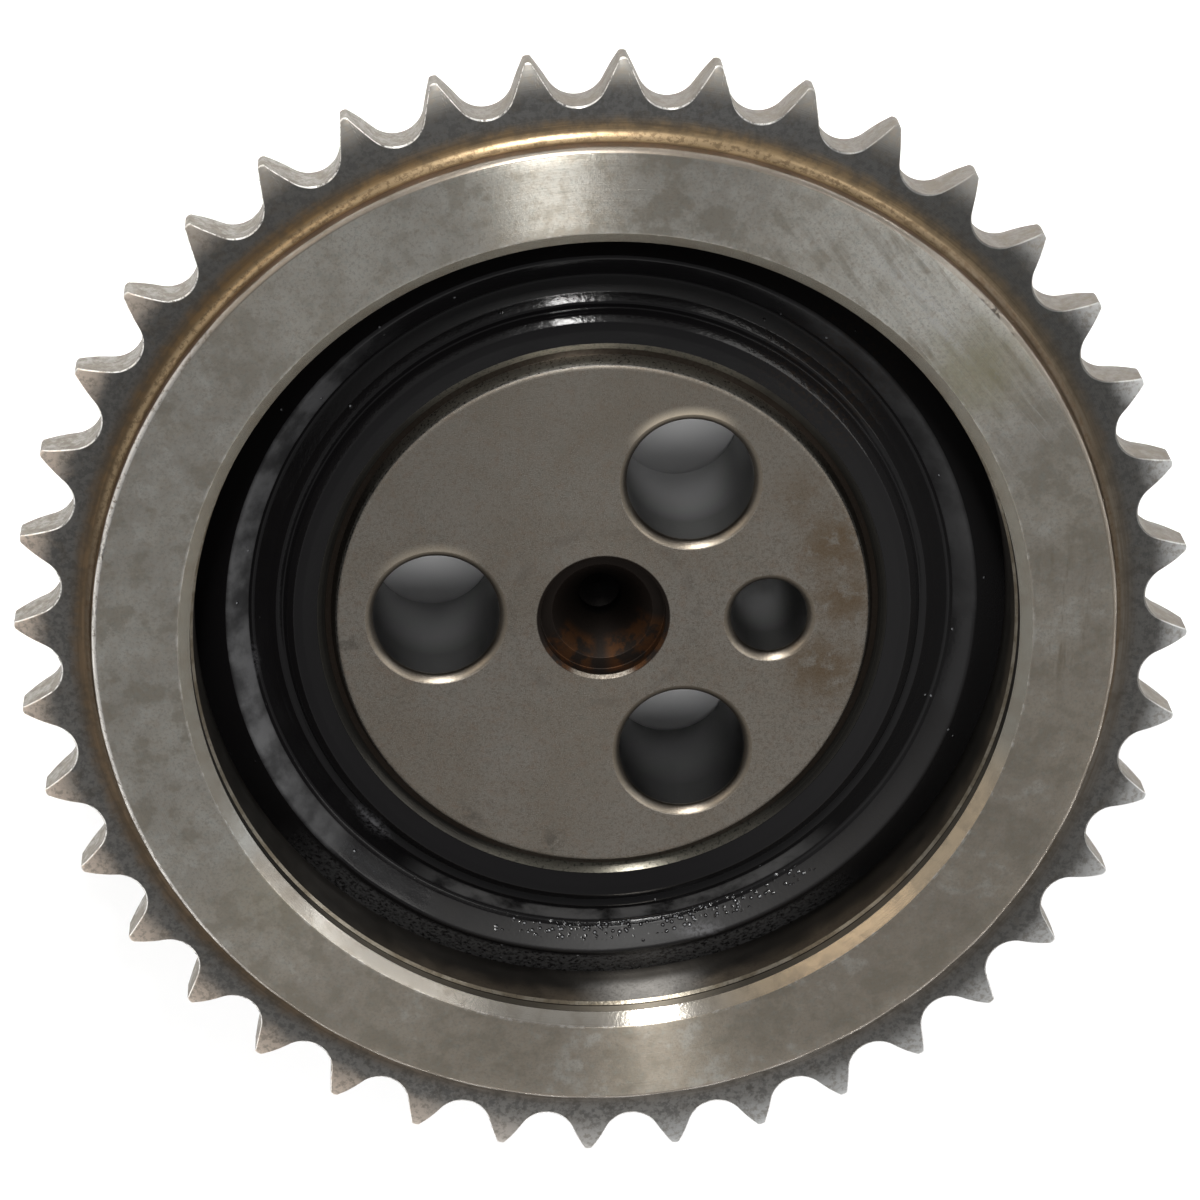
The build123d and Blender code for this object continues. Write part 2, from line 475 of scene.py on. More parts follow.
    def bumps(self, *layers):
        """Gives the surface layers of bumps, each a height of 0 to 1 and its distance in millimetres."""
        normal = None
        for height, distance in layers:
            node = self.new("Bump")
            node.inputs["Distance"].default_value = distance * MM
            self.feed(node.inputs["Height"], height)
            if normal:
                self.feed(node.inputs["Normal"], normal)
            normal = node.outputs[0]
        self.set(Normal=normal)

    def turned_metal(self, colour, rough, stretch, *bumps):
        """Finishes a metal whose highlights are stretched across its lathe marks."""
        tangent = self.new("Tangent")
        tangent.direction_type = "RADIAL"
        tangent.axis = "Z"
        quarter_turn = 0.25
        self.set(Tangent=tangent.outputs[0], Anisotropic_Rotation=quarter_turn)
        self.set(Base_Color=colour, Roughness=rough, Metallic=1.0, Anisotropic=stretch)
        self.bumps(*bumps)
        return self.material


def rim_graph():
    """The rim's material, with its noises and a factor for each of its regions."""
    g = Graph("rim_steel_look")
    g.patches = g.noise(0.08, detail=4, roughness=0.6)
    g.clouds = g.noise(0.35, detail=4, roughness=0.6)
    g.staining = g.noise(0.55, detail=4, roughness=0.7)
    g.mottle = g.noise(1.6, roughness=0.7)
    g.grain = g.noise(3.4, detail=2, roughness=0.75)
    find_ring(g)
    find_teeth(g)
    return g


def find_ring(g):
    """The mouth's chamfer and edge, the lip below it and the raised ring's outer edge."""
    in_mouth = g.ramp(g.radius, MOUTH_RADIUS + 0.1, MOUTH_RADIUS - 0.05)
    g.chamfer = g.times(g.band(g.z, MOUTH_FLOOR - 0.02, RIM_FRONT - 0.08, 0.06), in_mouth)
    by_lip = g.ramp(g.radius, LIP_RADIUS + 0.3, LIP_RADIUS + 0.2)
    g.lip = g.times(g.ramp(g.z, MOUTH_FLOOR, MOUTH_FLOOR - 0.1), by_lip)
    g.mouth_edge = g.band(g.radius, MOUTH_RADIUS - 0.05, MOUTH_RADIUS + 0.15, 0.08)
    outside = g.ramp(g.radius, EDGE_RADIUS - 0.1, EDGE_RADIUS + 0.05)
    g.edge = g.times(outside, g.ramp(g.z, RIM_FRONT - 0.7, RIM_FRONT - 0.5))


def find_teeth(g):
    """The teeth with their step, and the clean tips, sides and side edges in the gaps."""
    outside = g.ramp(g.radius, FACE_RADIUS - 0.1, FACE_RADIUS + 0.05)
    g.teeth = g.times(outside, g.band(g.z, TOOTH_BACK - 0.1, RIM_FRONT - 0.6, 0.1))
    g.wall = g.times(g.teeth, g.ramp(g.z, TOOTH_FRONT + 0.85, TOOTH_FRONT + 1.3))
    g.fillet = g.times(g.teeth, g.band(g.z, TOOTH_FRONT + 0.2, TOOTH_FRONT + 0.75, 0.14))
    cleaned = g.wavering(g.radius, g.staining, 2.2)
    cleaned = g.math("MULTIPLY_ADD", g.ramp(g.y, 0, -45), 0.8, cleaned)
    g.clean = g.ramp(cleaned, 58.2, 61)
    inset = side_inset(g)
    in_gap = g.ramp(g.radius, ROOT_RADIUS - 0.3, ROOT_RADIUS - 0.15)
    g.sides = g.times(g.ramp(inset, 0.06, 0.22), in_gap)
    # The side edges in the gaps, which carry a painted highlight
    at_edge = g.band(inset, 0.05, 0.16, 0.04)
    g.side_edge = g.times(at_edge, in_gap, g.ramp(g.mottle, 0.36, 0.56))


def side_inset(g):
    """How far below the curved front and back of the teeth a point lies."""
    over = g.most(g.math("SUBTRACT", g.radius, RELIEF_START), 0)
    kept = g.math("SQRT", g.math("SUBTRACT", RELIEF_RADIUS**2, g.times(over, over)))
    half_width = g.math("ADD", kept, (TOOTH_FRONT - TOOTH_BACK) / 2 - RELIEF_RADIUS)
    off_middle = g.math("ABSOLUTE", g.math("SUBTRACT", g.z, (TOOTH_FRONT + TOOTH_BACK) / 2))
    return g.math("SUBTRACT", half_width, off_middle)


def face_colour(g):
    """The turned front face: mid-grey, browner to the lower right, with blotches, smears and brown runs, and
    painted sheen at the upper left and the upper right.
    """
    low_right = g.ramp(g.dot(g.x, 0.5, g.y, -0.9), -25, 45)
    blotches = g.noise(0.22, detail=4, roughness=0.65)
    specks = g.noise(1.3, roughness=0.7)
    # Painted sheen: the upper left is lightened evenly and the upper right in brushed streaks
    painted_upper_left_sheen = g.spot(-27, 40, 26, 0.3)
    sheen = g.times(g.spot(31, 38, 26, 0.4), g.ramp(g.brushed(-52), 0.36, 0.56))
    scored = g.times(g.spot(33, 34, 26, 0.4), g.ramp(g.brushed(-48, fine=5, coarse=0.12), 0.57, 0.68))
    olive_patch = g.spot(37.4, 30.6, 7.5, 1.2)
    low_left_patch = g.spot(-34, -27, 9, 0.9)
    streaks = g.noise(1, g.vector(g.times(g.x, 0.9), g.times(g.y, 0.12), 0))
    runs = g.times(g.ramp(streaks, 0.52, 0.66), g.spot(47.9, 3.8, 12, 0.5, width=5, degrees=90))
    smears = g.most(
        g.spot(31, 39, 9, 0.6, width=0.9, degrees=-41),
        g.spot(33.5, 35, 7, 0.6, width=0.7, degrees=-47),
        g.spot(28.5, 40.5, 6, 0.6, width=0.6, degrees=-38),
    )
    return g.layered(
        g.mix(low_right, (0.735, 0.705, 0.63), (0.585, 0.515, 0.42)),
        ((0.45, 0.405, 0.35), g.ramp(g.patches, 0.38, 0.66), 0.5),
        ((0.43, 0.385, 0.31), g.ramp(blotches, 0.48, 0.6), 0.65),
        ((0.8, 0.785, 0.72), g.ramp(blotches, 0.46, 0.32), 0.55),
        # Painted sheen at the upper left, then at the upper right
        ((0.9, 0.88, 0.8), painted_upper_left_sheen, 0.3),
        ((0.97, 0.95, 0.87), sheen, 0.8),
        ((0.99, 0.98, 0.94), scored, 0.75),
        ((0.68, 0.62, 0.52), g.ramp(g.clouds, 0.48, 0.72), 0.35),
        ((0.42, 0.385, 0.24), olive_patch, 0.75),
        ((0.6, 0.54, 0.38), low_left_patch, 0.35),
        ((0.25, 0.19, 0.12), runs, 0.7),
        ((0.95, 0.94, 0.9), smears, g.ramp(g.grain, 0.35, 0.6), 0.8),
        ((0.38, 0.35, 0.3), g.ramp(g.grain, 0.46, 0.72), 0.45),
        ((0.5, 0.41, 0.31), g.ramp(specks, 0.5, 0.7), 0.3),
        ((0.52, 0.56, 0.52), g.ramp(specks, 0.48, 0.3), 0.25),
    )


def tooth_colour(g):
    """The tooth plane: brown by the step, dark and oily towards the roots, clean worn tips."""
    to_top = g.ramp(g.y, -15, 45)
    to_left = g.ramp(g.x, 5, -40)
    brown = g.layered(
        g.mix(to_top, (0.44, 0.4, 0.35), (0.34, 0.25, 0.145)),
        ((0.24, 0.15, 0.07), to_left, 0.75),
        ((0.13, 0.115, 0.095), g.ramp(g.x, 20, 50), 0.6),
        ((0.15, 0.11, 0.07), g.ramp(g.turning(0.3, wander=5), 0.4, 0.65), 0.45),
        ((0.13, 0.1, 0.065), g.ramp(g.staining, 0.42, 0.62), 0.45),
    )
    oily = g.layered(
        g.mix(to_top, (0.46, 0.445, 0.42), (0.19, 0.19, 0.187)),
        ((0.115, 0.112, 0.104), g.ramp(g.x, 5, 45), 0.65),
        ((0.155, 0.15, 0.14), to_left, 0.6),
        ((0.1, 0.1, 0.097), g.ramp(g.mottle, 0.42, 0.62), 0.5),
        ((0.13, 0.105, 0.075), g.ramp(g.staining, 0.5, 0.66), 0.3),
    )
    worn = g.layered(
        g.mix(g.ramp(g.x, 10, -30), (0.66, 0.66, 0.65), (0.8, 0.69, 0.59)),
        ((0.27, 0.26, 0.24), g.ramp(g.y, 25, 55)),
        ((0.3, 0.26, 0.21), g.ramp(g.mottle, 0.45, 0.65), 0.55),
    )
    side = g.layered(
        g.mix(g.ramp(g.x, -32, -4), (0.36, 0.345, 0.32), (0.23, 0.215, 0.195)),
        ((0.17, 0.14, 0.1), g.ramp(g.staining, 0.42, 0.58), 0.6),
        ((0.22, 0.2, 0.18), g.ramp(g.z, TOOTH_FRONT - 2.2, TOOTH_FRONT - 0.4), 0.5),
        ((0.15, 0.135, 0.11), g.ramp(g.mottle, 0.42, 0.62), 0.5),
    )
    near_step = g.ramp(g.wavering(g.radius, g.staining, 1.6), 56.9, 55)
    return g.layered(oily, (brown, near_step), (worn, g.clean), (side, g.sides))


def ring_colour(g):
    """The whole rim: its face and teeth, then the step, the edges, the mouth and the back."""
    # The step's fillet is dark brown, painted golden towards the top as a painted highlight
    fillet = g.layered(
        g.mix(g.facing(110, 42, 25), (0.15, 0.115, 0.08), (0.38, 0.28, 0.165)),
        ((0.11, 0.07, 0.04), g.ramp(g.mottle, 0.45, 0.62), 0.6),
    )
    wall = g.mix(g.ramp(g.mottle, 0.35, 0.65), (0.13, 0.065, 0.035), (0.07, 0.045, 0.03))
    # The outer edge is light at the left, partly from worn nicks and partly as a painted highlight
    worn_and_lit_left_edge = g.times(g.mix(g.facing(182, 26, 22), 0.03, 0.58), g.ramp(g.mottle, 0.32, 0.5))
    # The mouth's chamfer is painted lighter towards the bottom and beige at the lower right, as painted
    # highlights
    mouth = g.layered(
        g.mix(g.ramp(g.sine, -0.2, -0.6), (0.37, 0.35, 0.3), (0.47, 0.44, 0.39)),
        ((0.66, 0.53, 0.37), g.facing(-45, 18, 14)),
        ((0.3, 0.255, 0.2), g.ramp(g.clouds, 0.4, 0.65), 0.4),
    )
    lip = g.mix(g.facing(-75, 45, 20), (0.09, 0.085, 0.08), (0.4, 0.36, 0.3))
    joint = g.ramp(g.z, OUTER_SLEEVE_FRONT + 0.35, OUTER_SLEEVE_FRONT + 0.2)
    back = g.mix(g.ramp(g.clouds, 0.4, 0.7), (0.25, 0.235, 0.21), (0.17, 0.14, 0.11))
    return g.layered(
        g.mix(g.teeth, face_colour(g), tooth_colour(g)),
        (fillet, g.fillet),
        (wall, g.wall),
        ((0.17, 0.14, 0.11), g.edge, 0.85),
        ((0.85, 0.83, 0.79), g.edge, worn_and_lit_left_edge),
        (mouth, g.chamfer),
        (lip, g.lip),
        ((0.025, 0.02, 0.017), g.lip, joint),
        # A painted highlight along the mouth's outer edge, broken up by noise
        ((0.85, 0.82, 0.76), g.mouth_edge, g.ramp(g.staining, 0.5, 0.62), 0.6),
        # A painted highlight on the side edges in the gaps, strongest at the left
        ((0.92, 0.9, 0.86), g.side_edge, g.ramp(g.x, 40, -10), 0.85),
        (back, g.ramp(g.z, TOOTH_BACK + 0.4, TOOTH_BACK - 0.1)),
    )


def rim_steel():
    """The rim's finish: turned face, stained step, dark tooth roots and bright tips."""
    g = rim_graph()
    rough = g.layered(
        g.mix(g.ramp(g.patches, 0.3, 0.7), 0.275, 0.325),
        (0.56, g.teeth),
        (0.32, g.side_edge),
        (0.32, g.fillet),
        (0.21, g.chamfer),
    )
    stretch = g.mix(g.most(g.teeth, g.edge), 1, 0.3)
    return g.turned_metal(ring_colour(g), rough, stretch, (g.turning(0.1), 0.017), (g.grain, 0.008))


def sleeve_steel():
    """The sleeves' finish: plain turned steel, dark on the wall above the rubber, with painted highlights and
    a painted reflection.
    """
    g = Graph("sleeve_steel_look")
    lathe = g.turning(0.12)
    clouds = g.noise(0.4, detail=5)
    speckle = g.noise(2.5, roughness=0.7)
    outer = g.ramp(g.radius, 38, 42)
    # Painted highlights on the inner sleeve, at the bottom and at the top
    lit = g.most(g.facing(-82, 16, 22), g.times(g.facing(95, 26, 15), 0.7))
    seat_edge = INNER_SLEEVE_RADIUS - INNER_BEVEL
    seat = g.times(g.ramp(g.radius, seat_edge + 0.1, seat_edge - 0.05), g.inverse(outer))

    # The wall above the rubber is dark all over; high up at the lower right it is painted light as a painted
    # reflection, and a narrow painted highlight streak lies on it at the bottom
    wavering_height = g.math("MULTIPLY_ADD", clouds, 2.5, g.z)
    painted_light_lower_right = g.times(g.facing(-60, 42, 30), g.ramp(wavering_height, 23.2, 27))
    wall = g.layered(
        g.mix(painted_light_lower_right, (0.065, 0.06, 0.054), (0.21, 0.175, 0.135)),
        ((0.26, 0.25, 0.235), g.facing(-83, 4, 7), g.ramp(g.z, 20.5, 23)),
    )
    bevel_foot = OUTER_SLEEVE_FRONT - SLEEVE_BEVEL
    on_bevel = g.times(g.ramp(g.z, bevel_foot - 0.05, bevel_foot + 0.05), outer)
    bevel = g.mix(g.ramp(clouds, 0.4, 0.6), (0.4, 0.36, 0.29), (0.27, 0.23, 0.17))
    colour = g.layered(
        g.mix(g.ramp(lathe, 0.3, 0.7), (0.08, 0.076, 0.07), (0.12, 0.115, 0.1)),
        ((0.36, 0.34, 0.28), lit, g.ramp(speckle, 0.3, 0.55)),
        ((0.05, 0.035, 0.025), seat, 0.85),
        (wall, outer),
        (bevel, on_bevel),
        ((0.08, 0.07, 0.06), g.ramp(speckle, 0.48, 0.68), 0.4),
    )
    return g.turned_metal(colour, g.mix(clouds, 0.28, 0.42), 1, (lathe, 0.012), (speckle, 0.012))


def rubber_look():
    """Black oily rubber: glossy steps, a ledge with dust, kept black at the top as painted shade, painted
    reflections on the ledge, trench and slope, droplets with painted glints and a few pale smears.
    """
    g = Graph("rubber_look")
    film = g.noise(0.22, detail=5, roughness=0.6)
    fine = g.noise(2.2, roughness=0.6)
    crest = RUBBER_FRONT["ledge_crest"][0]
    ledge_edge = RUBBER_FRONT["ledge_edge"][0]
    bead_foot = RUBBER_FRONT["bead_foot"][0]

    # Dust lies on the ledge, most of it at the left, and the upper right is lightened the same way as a
    # painted reflection; the dust is left off where two narrow oily runs cut through it and at the top, which
    # stays black as painted shade
    on_ledge = g.times(g.band(g.radius, ledge_edge + 0.05, crest + 0.2, 0.12), g.ramp(g.z, 19.1, 19.4))
    # Two narrow oily runs, and the top of the ledge, which stays black as painted shade
    oily = g.most(g.facing(97, 22, 26), g.facing(-127, 6, 6), g.facing(-8, 5, 5))
    ledge_outside_oil_and_shade = g.times(on_ledge, g.inverse(oily))
    toward_left = g.mix(g.ramp(g.x, 25, -30), 0.25, 1)
    # The lightening at the upper right is a painted reflection
    dust_and_reflection_share = g.most(toward_left, g.times(g.facing(38, 22, 12), 0.65))
    dust_and_reflection = g.times(g.mix(g.ramp(film, 0.35, 0.65), 0.2, 1), dust_and_reflection_share)
    dust = g.layered(
        g.mix(g.facing(-70, 50, 15), (0.062, 0.062, 0.064), (0.01, 0.009, 0.0085)),
        ((0.105, 0.105, 0.108), g.facing(170, 32, 15)),
    )

    smears = g.most(
        g.spot(-24.5, -24.5, 4, 0.7, width=1.5, degrees=-45),
        g.spot(11.5, -37.5, 3.4, 0.7, width=1, degrees=10),
        g.times(g.spot(-37.4, -6.5, 4, 0.9, width=1.2, degrees=90), 0.6),
    )
    smears = g.times(smears, g.ramp(fine, 0.35, 0.6))
    # Painted reflections on the trench and the outer slope, at the bottom
    trench = g.times(g.band(g.radius, bead_foot - 0.15, ledge_edge - 0.85, 0.3), g.facing(-85, 26, 16))
    slope = g.times(g.ramp(g.radius, crest + 0.4, crest + 1.1), g.facing(-95, 30, 20))

    # Drops lie close together at the lower foot of the ledge and are rare elsewhere
    wet = g.times(g.facing(-79, 22, 8), g.band(g.radius, 37.5, 38.7, 0.3))
    few = g.times(g.ramp(g.radius, 34, 36), 0.01)
    drops = g.droplets(0.6, g.math("MULTIPLY_ADD", wet, 0.84, few), 0.5)

    colour = g.layered(
        g.mix(g.ramp(g.x, 5, 32), (0.0065, 0.006, 0.0065), (0.014, 0.0135, 0.014)),
        (dust, ledge_outside_oil_and_shade, dust_and_reflection),
        ((0.028, 0.018, 0.011), g.ramp(fine, 0.45, 0.65), g.spot(24, 27, 12, 0.6), 0.6),
        ((0.13, 0.13, 0.14), smears, 0.6),
        # Painted reflections on the trench and the outer slope
        ((0.15, 0.15, 0.152), trench, g.ramp(film, 0.25, 0.6)),
        ((0.1, 0.1, 0.102), slope, g.ramp(fine, 0.3, 0.6)),
        # Painted glints: the droplets' middles are lightened
        ((0.36, 0.37, 0.39), g.ramp(drops, 0.45, 0.9), 0.7),
    )
    rough = g.layered(
        g.mix(g.ramp(film, 0.3, 0.7), 0.14, 0.24),
        (0.42, g.band(g.radius, 35.8, 37.5, 0.1), g.facing(92, 42, 15)),
        (0.12, g.ramp(g.radius, bead_foot + 0.15, bead_foot - 0.05)),
        (0.48, ledge_outside_oil_and_shade),
        (0.5, smears),
        (0.12, g.ramp(drops, 0, 0.2)),
    )
    g.set(Base_Color=colour, Roughness=rough, Specular_IOR_Level=0.35)
    g.bumps((fine, 0.02), (drops, 0.08))
    return g.material


def hub_graph():
    """The hub's material, with its noises and a factor for each of its regions."""
    g = Graph("hub_steel_look")
    g.speckle = g.noise(3.2, roughness=0.7)
    g.fine = g.noise(9, detail=2, roughness=0.6)
    g.clouds = g.noise(0.12, detail=4, roughness=0.6)
    g.patches = g.noise(0.5, detail=4, roughness=0.65)
    g.depth = g.math("SUBTRACT", HUB_FRONT, g.z)
    g.on_face = g.ramp(g.depth, 0.12, 0.04)
    g.inside = g.times(g.ramp(g.depth, 0.9, 1.2), g.ramp(g.radius, 27, 26))
    at_top = g.ramp(g.depth, 0.5, 0.4)
    in_centre = g.ramp(g.radius, CENTRE_RADIUS + 0.5, CENTRE_RADIUS + CENTRE_CHAMFER)
    g.centre = g.times(in_centre, g.inverse(g.times(g.facing(-90, 20, 15), at_top)))
    by_edge = g.ramp(g.radius, HUB_TAPER_RADIUS - 0.02, HUB_TAPER_RADIUS + 0.04)
    g.taper = g.times(by_edge, g.ramp(g.z, INNER_SLEEVE_BACK, INNER_SLEEVE_BACK + 1))
    at_chamfers = g.band(g.depth, 0.06, 0.95, 0.05)
    g.hole_edge = g.times(at_chamfers, g.band(g.radius, 7.5, 26, 0.1))
    return g


def hub_face_colour(g):
    """The hub's face: speckled grey-brown, stained by the small hole, with sooty spots by the edge and
    painted highlights on the upper edges of two holes.
    """
    tones = g.noise(0.9, detail=5, roughness=0.7)
    stain_places = ((24.5, 8.5, 6.5), (25.8, 2, 5.5), (23.5, -6, 6.5))
    faint_stain = g.times(g.spot(20.5, 14, 5, 0.9), 0.5)
    stain = g.most(faint_stain, *(g.spot(*place, 0.9) for place in stain_places))
    soot_places = ((-13.5, -22.8, 3), (-5, -26.5, 2.8), (-27.2, -3, 2.4))
    soot = g.most(*(g.spot(*place, 0.9) for place in soot_places))
    ring_mark = g.times(g.band(g.radius, 9.6, 10.2, 0.5), g.on_face)
    return g.layered(
        g.mix(g.ramp(g.clouds, 0.35, 0.65), (0.31, 0.272, 0.225), (0.345, 0.315, 0.275)),
        ((0.44, 0.4, 0.345), g.ramp(g.x, 0, 25), 0.5),
        ((0.3, 0.215, 0.155), g.ramp(tones, 0.5, 0.7), 0.45),
        ((0.255, 0.265, 0.235), g.ramp(tones, 0.48, 0.3), 0.35),
        ((0.17, 0.145, 0.12), g.ramp(g.speckle, 0.42, 0.66), 0.6),
        ((0.52, 0.5, 0.46), g.ramp(g.fine, 0.52, 0.7), 0.65),
        ((0.14, 0.125, 0.105), g.ramp(g.fine, 0.46, 0.32), 0.5),
        ((0.2, 0.18, 0.15), g.ramp(g.y, 0, 25), 0.3),
        # Painted highlights on the upper edges of two holes
        ((1, 0.88, 0.7), painted_hole_highlight(g, 60)),
        ((1, 0.88, 0.7), painted_hole_highlight(g, 180), 0.45),
        ((0.19, 0.12, 0.055), stain, g.ramp(g.patches, 0.34, 0.54), 0.65),
        ((0.1, 0.09, 0.075), soot, g.ramp(g.patches, 0.45, 0.6), 0.5),
        ((0.18, 0.155, 0.13), ring_mark, g.ramp(g.patches, 0.42, 0.6), 0.3),
    )


def painted_hole_highlight(g, degrees):
    """A painted highlight on the upper edge of the hole at a direction."""
    distance, upward = g.from_hole(degrees, 100)
    return g.times(g.ramp(distance, 8.8, 7.2), g.ramp(upward, 0.6, 1), g.ramp(g.depth, 0.6, 0.1))


def hole_wall_colour(g):
    """Walls of the through holes, with painted light and shade: on the side near the viewer they are painted
    dark towards the front and light towards the far end.
    """
    walls = []
    for degrees, level in HOLE_PAINTED_LIGHT.items():
        distance, agree = g.from_hole(degrees, -95)
        deep = g.times(g.ramp(agree, 0.35, 0.95), g.ramp(g.z, 16, 1, smooth=False))
        dim, far = level * 0.4, min(0.95, level * 3)
        near_side = g.mix(deep, (dim, dim, level * 0.39), (far, far, far))
        walls.append((near_side, g.ramp(distance, 7.6, 7.2), g.ramp(agree, -0.5, -0.1)))
    return g.layered((0.5, 0.49, 0.48), *walls)


def lower_hole_edges(g):
    """1 on the lower part of every through hole's edge."""
    places = [g.from_hole(degrees, -83) for degrees in HOLE_PAINTED_LIGHT]
    return g.most(*(g.times(g.ramp(off, 8.6, 8.3), g.ramp(agree, 0.2, 0.7)) for off, agree in places))


def hub_colour(g):
    """The whole hub: face, hole walls, the centre painted nearly black as shade with a little rust, taper and
    edges with painted highlights.
    """
    # The blind centre hole is painted nearly black as painted shade, darkest in the pilot
    centre = g.mix(g.ramp(g.radius, 2.5, 2.2), (0.035, 0.028, 0.024), (0.02, 0.018, 0.017))
    rust = g.times(g.band(g.radius, 4.4, 6.9, 0.8), g.most(g.facing(-125, 18, 14), g.facing(-45, 28, 16)))
    # The taper is painted lighter at the top as a painted highlight
    taper = g.layered(
        g.mix(g.ramp(g.speckle, 0.4, 0.6), (0.07, 0.065, 0.06), (0.13, 0.12, 0.105)),
        ((0.42, 0.4, 0.36), g.facing(95, 38, 25), g.ramp(g.speckle, 0.32, 0.5)),
    )
    # A speckled painted highlight along the top of the taper
    crest = g.times(g.ramp(g.depth, 0.8, 0.5), g.ramp(g.speckle, 0.35, 0.55))
    # The hole chamfers are painted dark low down as painted shade and light at the top as a painted highlight
    hole_rim = g.mix(g.ramp(g.depth, 0.55, 0.2), (0.06, 0.05, 0.04), (0.28, 0.24, 0.19))
    return g.layered(
        hub_face_colour(g),
        (hole_wall_colour(g), g.inside),
        (centre, g.centre),
        ((0.11, 0.05, 0.022), rust, g.ramp(g.patches, 0.38, 0.56), g.centre, 0.8),
        (taper, g.taper),
        ((0.55, 0.53, 0.49), g.taper, crest),
        (hole_rim, g.hole_edge, 0.75),
    )


def hub_steel():
    """Dull machined hub: fine speckle, brown stains by the small hole, hole edges smoother low down, with
    painted highlights and shade.
    """
    g = hub_graph()
    rough = g.layered(
        g.mix(g.ramp(g.speckle, 0.3, 0.7), 0.50, 0.62),
        (0.30, g.hole_edge, lower_hole_edges(g)),
        (0.34, g.inside),
        (0.55, g.centre),
        (0.34, g.taper),
    )
    return g.turned_metal(hub_colour(g), rough, 0.2, (g.speckle, 0.012), (g.fine, 0.016))


def relief_drop(radius):
    """How far the tooth's side has curved in at a radius."""
    over = max(0.0, radius - RELIEF_START)
    return RELIEF_RADIUS - math.sqrt(RELIEF_RADIUS**2 - over**2)


def half_gap(seat_steps=9, flank_steps=6, tip_steps=5):
    """From the floor of a gap to the middle of a tooth tip, as (angle, radius) pairs."""
    points = []
    for step in range(seat_steps):
        turn = SEAT_HALF_ANGLE * step / seat_steps
        points.append((PITCH_RADIUS - SEAT_RADIUS * math.cos(turn), SEAT_RADIUS * math.sin(turn)))
    reach = SEAT_RADIUS + FLANK_RADIUS
    centre_x = PITCH_RADIUS - reach * math.cos(SEAT_HALF_ANGLE)
    centre_y = reach * math.sin(SEAT_HALF_ANGLE)
    for step in range(flank_steps + 1):
        turn = FLANK_LENGTH / FLANK_RADIUS * step / flank_steps - SEAT_HALF_ANGLE
        points.append((centre_x + FLANK_RADIUS * math.cos(turn), centre_y + FLANK_RADIUS * math.sin(turn)))
    outline = [(math.atan2(y, x), math.hypot(x, y)) for x, y in points]
    last_angle, last_radius = outline[-1]
    tip_angle = math.pi / TOOTH_COUNT
    for step in range(1, tip_steps + 1):
        turn = math.pi / 2 * step / tip_steps
        angle = tip_angle - (tip_angle - last_angle) * math.cos(turn)
        outline.append((angle, last_radius + (TIP_RADIUS - last_radius) * math.sin(turn)))
    return outline


def tooth_columns():
    """Every column of the rim's mesh, as (angle, outer radius) pairs round the whole wheel."""
    half = half_gap()
    columns = []
    for number in range(TOOTH_COUNT):
        middle = TOOTH_PHASE + (number + 0.5) * 2 * math.pi / TOOTH_COUNT
        columns.extend((middle - angle, radius) for angle, radius in reversed(half[1:-1]))
        columns.extend((middle + angle, radius) for angle, radius in half)
    return columns


def burr(angle, height):
    """How far the ring's edge is pushed out by small nicks, at a direction and height."""
    degrees = math.degrees(angle) % 360
    coarse = noise.noise(Vector((degrees * 1.6, 3.7, 0.0)))
    fine = noise.noise(Vector((degrees * 5.0, 9.1, 0.0)))
    lift = max(0.0, coarse + 0.5 * fine - 0.12)
    worn = max(max(0.0, 1 - abs(degrees - place) / spread) for place, spread in BURR_PLACES)
    return BURR_REACH * lift * worn * max(0.0, 1 - (RIM_FRONT - height) / BURR_DEPTH)


def front_section(tooth_inner, face_steps=6, fillet_steps=7):
    """The rim's section from the lip over the mouth, the face and the step to the foot of the teeth."""
    edge_inner = EDGE_RADIUS - 0.08
    section = [
        (LIP_RADIUS, MOUTH_FLOOR),
        (LIP_RADIUS + 0.06, MOUTH_FLOOR + 0.06),
        (MOUTH_RADIUS - 0.06, RIM_FRONT - 0.09),
        (MOUTH_RADIUS + 0.03, RIM_FRONT - 0.02),
        (MOUTH_RADIUS + 0.14, RIM_FRONT),
    ]
    for step in range(1, face_steps + 1):
        section.append((MOUTH_RADIUS + (edge_inner - MOUTH_RADIUS) * step / face_steps, RIM_FRONT))
    section += [
        (edge_inner + 0.12, RIM_FRONT - 0.04),
        (FACE_RADIUS - 0.06, RIM_FRONT - EDGE_CHAMFER + 0.06),
        (FACE_RADIUS, RIM_FRONT - EDGE_CHAMFER - 0.1),
        (FACE_RADIUS, TOOTH_FRONT + STEP_FILLET),
    ]
    for step in range(1, fillet_steps + 1):
        turn = math.pi / 2 * step / fillet_steps
        height = TOOTH_FRONT + STEP_FILLET * (1 - math.sin(turn))
        section.append((tooth_inner - STEP_FILLET * math.cos(turn), height))
    return section


def tooth_section(tooth_inner, outer, plane_steps=10, tip_steps=4):
    """The section over a column's teeth, which end at a radius, from the front plane to the back one."""
    edge = outer - EDGE_BREAK
    front = TOOTH_FRONT - relief_drop(edge)
    back = TOOTH_BACK + relief_drop(edge)
    section = []
    for step in range(1, plane_steps + 1):
        radius = tooth_inner + (edge - tooth_inner) * step / plane_steps
        section.append((radius, TOOTH_FRONT - relief_drop(radius)))
    section.append((outer - 0.05, front - EDGE_BREAK * 0.75))
    for step in range(tip_steps + 1):
        section.append((outer, front - EDGE_BREAK - (front - back - 2 * EDGE_BREAK) * step / tip_steps))
    section.append((outer - 0.05, back + EDGE_BREAK * 0.75))
    for step in range(plane_steps + 1):
        radius = edge + (DRUM_RADIUS + 0.3 - edge) * step / plane_steps
        section.append((radius, TOOTH_BACK + relief_drop(radius)))
    return section


